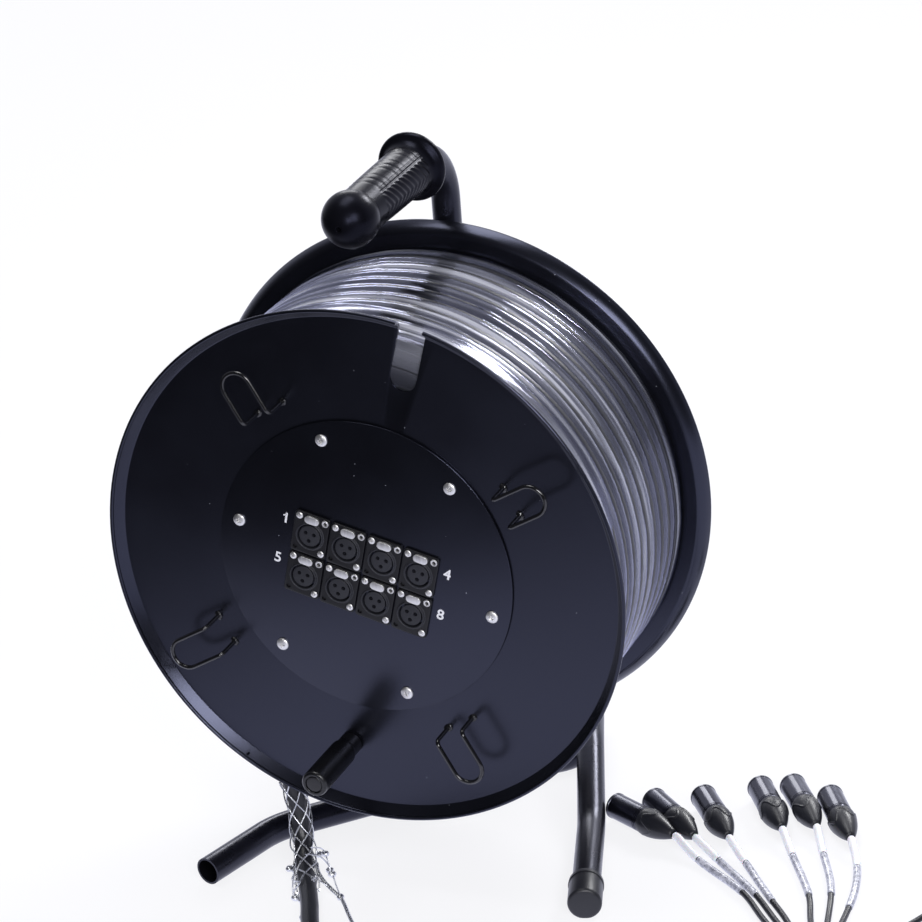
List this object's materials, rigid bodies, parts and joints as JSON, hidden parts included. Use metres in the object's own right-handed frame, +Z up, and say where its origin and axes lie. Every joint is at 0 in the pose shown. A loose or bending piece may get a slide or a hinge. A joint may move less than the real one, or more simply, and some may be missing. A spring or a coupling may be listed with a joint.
{
  "type": "stage box snake",
  "caption": "Cable drum on a bent tube stand with a carry handle, a socket plate on the drum's face and a cable that ends in a fan of plug tails.",
  "frame": {"origin": "on the floor, under the middle of the stand and drum without the free cable", "axes": "+Z up, +Y from the socket face towards the upright tube, +X to the right as seen from the socket face"},
  "size_m": [0.5857, 0.4193, 0.5125],
  "materials": {
    "black_steel": "powder coat, satin, near black",
    "black_tube": "gloss black lacquer",
    "black_rubber": "moulded, matt",
    "cable_jacket": "smooth jacket with a soft gloss",
    "nickel": "nickel plated",
    "black_metal": "black chromed casting",
    "black_plastic": "moulded, satin",
    "zinc_steel": "zinc plated"
  },
  "bodies": {
    "stand": {"stand_main_tube": "black_tube", "left_leg_tube": "black_tube", "right_leg_tube": "black_tube", "handle_grip": "black_rubber", "right_foot_cap": "black_rubber", "axle_shaft": "zinc_steel", "free_cable": "cable_jacket", "cable_grip": "zinc_steel", "splitter_boot": "black_rubber", "plug_1": "black_metal", "plug_2": "black_metal", "plug_3": "black_metal", "plug_4": "black_metal", "plug_5": "black_metal", "plug_6": "black_metal", "plug_7": "black_metal", "plug_8": "black_metal", "tail_cable_1": "cable_jacket", "tail_cable_2": "cable_jacket", "tail_cable_3": "cable_jacket", "tail_cable_4": "cable_jacket", "tail_cable_5": "cable_jacket", "tail_cable_6": "cable_jacket", "tail_cable_7": "cable_jacket", "tail_cable_8": "cable_jacket"},
    "drum": {"front_flange": "black_steel", "rear_flange": "black_steel", "drum_core": "black_steel", "hub_tube": "black_steel", "cable_winding": "cable_jacket", "inner_winding": "cable_jacket", "connector_plate": "black_steel", "crank_bolt": "zinc_steel", "plate_screw_1": "nickel", "plate_screw_2": "nickel", "plate_screw_3": "nickel", "plate_screw_4": "nickel", "plate_screw_5": "nickel", "plate_screw_6": "nickel", "socket_1": "black_metal", "socket_2": "black_metal", "socket_3": "black_metal", "socket_4": "black_metal", "socket_5": "black_metal", "socket_6": "black_metal", "socket_7": "black_metal", "socket_8": "black_metal", "wire_hook_1": "black_steel", "wire_hook_2": "black_steel", "wire_hook_3": "black_steel", "wire_hook_4": "black_steel"},
    "crank": {"crank_knob": "black_plastic"},
    "latch_1": {"socket_latch_1": "nickel"},
    "latch_2": {"socket_latch_2": "nickel"},
    "latch_3": {"socket_latch_3": "nickel"},
    "latch_4": {"socket_latch_4": "nickel"},
    "latch_5": {"socket_latch_5": "nickel"},
    "latch_6": {"socket_latch_6": "nickel"},
    "latch_7": {"socket_latch_7": "nickel"},
    "latch_8": {"socket_latch_8": "nickel"}
  },
  "joints": [
    {"name": "drum_spin", "type": "hinge", "parent": "stand", "child": "drum", "pos_m": [0, -0.0165, 0.245], "axis": [0, 1, 0], "continuous": true},
    {"name": "crank_knob_spin", "type": "hinge", "parent": "drum", "child": "crank", "pos_m": [-0.02198, -0.125, 0.10775], "axis": [0, 1, 0], "continuous": true},
    {"name": "socket_latch_1_press", "type": "slide", "parent": "drum", "child": "latch_1", "axis": [0, 1, 0], "range_m": [0, 0.0015], "stiffness_N_per_m": 400},
    {"name": "socket_latch_2_press", "type": "slide", "parent": "drum", "child": "latch_2", "axis": [0, 1, 0], "range_m": [0, 0.0015], "stiffness_N_per_m": 400},
    {"name": "socket_latch_3_press", "type": "slide", "parent": "drum", "child": "latch_3", "axis": [0, 1, 0], "range_m": [0, 0.0015], "stiffness_N_per_m": 400},
    {"name": "socket_latch_4_press", "type": "slide", "parent": "drum", "child": "latch_4", "axis": [0, 1, 0], "range_m": [0, 0.0015], "stiffness_N_per_m": 400},
    {"name": "socket_latch_5_press", "type": "slide", "parent": "drum", "child": "latch_5", "axis": [0, 1, 0], "range_m": [0, 0.0015], "stiffness_N_per_m": 400},
    {"name": "socket_latch_6_press", "type": "slide", "parent": "drum", "child": "latch_6", "axis": [0, 1, 0], "range_m": [0, 0.0015], "stiffness_N_per_m": 400},
    {"name": "socket_latch_7_press", "type": "slide", "parent": "drum", "child": "latch_7", "axis": [0, 1, 0], "range_m": [0, 0.0015], "stiffness_N_per_m": 400},
    {"name": "socket_latch_8_press", "type": "slide", "parent": "drum", "child": "latch_8", "axis": [0, 1, 0], "range_m": [0, 0.0015], "stiffness_N_per_m": 400}
  ]
}
